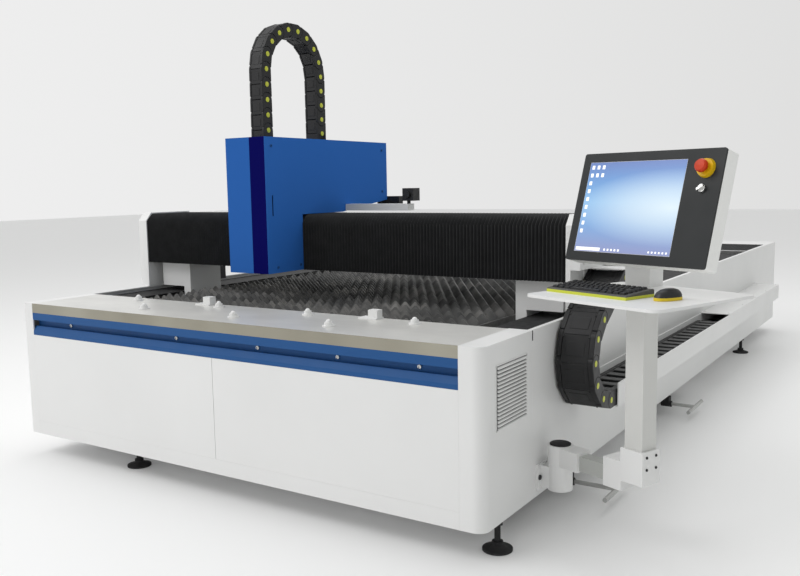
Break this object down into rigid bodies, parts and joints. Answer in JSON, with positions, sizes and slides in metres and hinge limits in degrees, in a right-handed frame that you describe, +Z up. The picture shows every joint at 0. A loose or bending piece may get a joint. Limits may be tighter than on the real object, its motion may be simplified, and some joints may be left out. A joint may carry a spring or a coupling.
{
  "type": "fiber laser cutting machine",
  "caption": "Flat-bed laser cutting machine: slat table, bellows-covered gantry with arched drag chain over the head, side cable tray and swing-arm operator console.",
  "frame": {"origin": "middle of the machine's outline in plan, on the floor under the levelling feet", "axes": "+Z up, +Y from the operator's front face to the rear, +X across the table to the console side"},
  "size_m": [2.9398, 4.82, 1.8597],
  "materials": {
    "white_paint": "satin powder coat",
    "blue_paint": "satin paint",
    "stainless": "brushed",
    "steel": "ground",
    "black_plastic": "moulded",
    "bellows_cloth": "coated cloth",
    "black_steel": "black paint",
    "dark_grey": "textured paint",
    "rubber": "matt",
    "screen_glass": "lit screen",
    "stop_red": "gloss",
    "stop_yellow": "gloss",
    "copper": "machined"
  },
  "bodies": {
    "base": {"rail_beams": "white_paint", "cross_members": "white_paint", "side_skin_left": "white_paint", "side_skin_right": "white_paint", "rear_panel": "white_paint", "front_end_cap": "white_paint", "front_panels": "white_paint", "front_plinth": "white_paint", "front_channel": "blue_paint", "steel_shelf": "stainless", "ball_units": "white_paint", "sheet_stops": "white_paint", "louvre_vent": "white_paint", "rail_covers": "rubber", "linear_rails": "steel", "gear_racks": "steel", "slat_supports": "black_steel", "slats": "black_steel", "chain_tray": "white_paint", "tray_cover": "white_paint", "chain_lower_run": "black_plastic", "levelling_feet": "rubber", "console_bracket": "white_paint"},
    "gantry": {"beam": "white_paint", "beam_end_left": "white_paint", "beam_end_right": "white_paint", "gantry_feet": "white_paint", "gantry_motors": "dark_grey", "beam_rails": "steel", "bellows_left": "bellows_cloth", "bellows_right": "bellows_cloth", "beam_chain_tray": "white_paint", "beam_lower_run": "black_plastic", "chain_bracket": "white_paint", "chain_upper_run": "black_plastic"},
    "chain_loop": {"chain_loop": "black_plastic"},
    "carriage": {"carriage_plate": "dark_grey", "head_cover": "blue_paint", "z_actuator": "dark_grey", "arch_chain": "black_plastic", "beam_upper_run": "black_plastic", "bed_camera": "black_plastic"},
    "beam_loop": {"beam_loop": "black_plastic"},
    "head": {"z_slide": "dark_grey", "cutting_head": "black_plastic", "nozzle": "copper"},
    "console": {"console_arm": "white_paint", "console_column": "white_paint", "console_shelf": "white_paint", "monitor_post": "white_paint", "keyboard": "black_plastic", "mouse": "black_plastic"},
    "monitor": {"monitor_case": "dark_grey", "monitor_screen": "screen_glass", "estop_ring": "stop_yellow"},
    "estop_button": {"estop_button": "stop_red"},
    "selector_knob": {"selector_knob": "steel"},
    "scrap_pan_front": {"scrap_pan_front": "steel"},
    "scrap_pan_rear": {"scrap_pan_rear": "steel"}
  },
  "joints": [
    {"name": "gantry_travel", "type": "slide", "parent": "base", "child": "gantry", "axis": [0, 1, 0], "range_m": [0, 2.9], "deforming": ["chain_lower_run", "chain_upper_run"]},
    {"name": "chain_roll", "type": "slide", "parent": "gantry", "child": "chain_loop", "axis": [0, 1, 0], "range_m": [-1.45, 0]},
    {"name": "carriage_travel", "type": "slide", "parent": "gantry", "child": "carriage", "axis": [1, 0, 0], "range_m": [-0.5, 0.97], "deforming": ["bellows_left", "bellows_right", "beam_upper_run", "beam_lower_run"]},
    {"name": "beam_chain_roll", "type": "slide", "parent": "carriage", "child": "beam_loop", "axis": [1, 0, 0], "range_m": [-0.485, 0.25]},
    {"name": "head_lift", "type": "slide", "parent": "carriage", "child": "head", "axis": [0, 0, 1], "range_m": [-0.12, 0], "deforming": ["arch_chain"]},
    {"name": "console_swing", "type": "hinge", "parent": "base", "child": "console", "pos_m": [0.88308, -1.976, 0.24], "axis": [0, 0, 1], "range_deg": [-60, 0]},
    {"name": "monitor_tilt", "type": "hinge", "parent": "console", "child": "monitor", "pos_m": [1.12116, -1.85614, 1.05274], "axis": [0.9348, -0.3551, 0], "range_deg": [-10, 8]},
    {"name": "estop_press", "type": "slide", "parent": "monitor", "child": "estop_button", "axis": [0.3414, 0.8986, -0.2756], "range_m": [0, 0.006], "stiffness_N_per_m": 600},
    {"name": "selector_turn", "type": "hinge", "parent": "monitor", "child": "selector_knob", "pos_m": [1.33929, -2.0121, 1.13371], "axis": [-0.3414, -0.8986, 0.2756], "range_deg": [-45, 45]},
    {"name": "front_pan_slide", "type": "slide", "parent": "base", "child": "scrap_pan_front", "axis": [1, 0, 0], "range_m": [0, 1.4]},
    {"name": "rear_pan_slide", "type": "slide", "parent": "base", "child": "scrap_pan_rear", "axis": [1, 0, 0], "range_m": [0, 1.4]}
  ],
  "couplings": [
    {"joint": "chain_roll", "follows": "gantry_travel", "ratio": -0.5},
    {"joint": "beam_chain_roll", "follows": "carriage_travel", "ratio": -0.5}
  ]
}
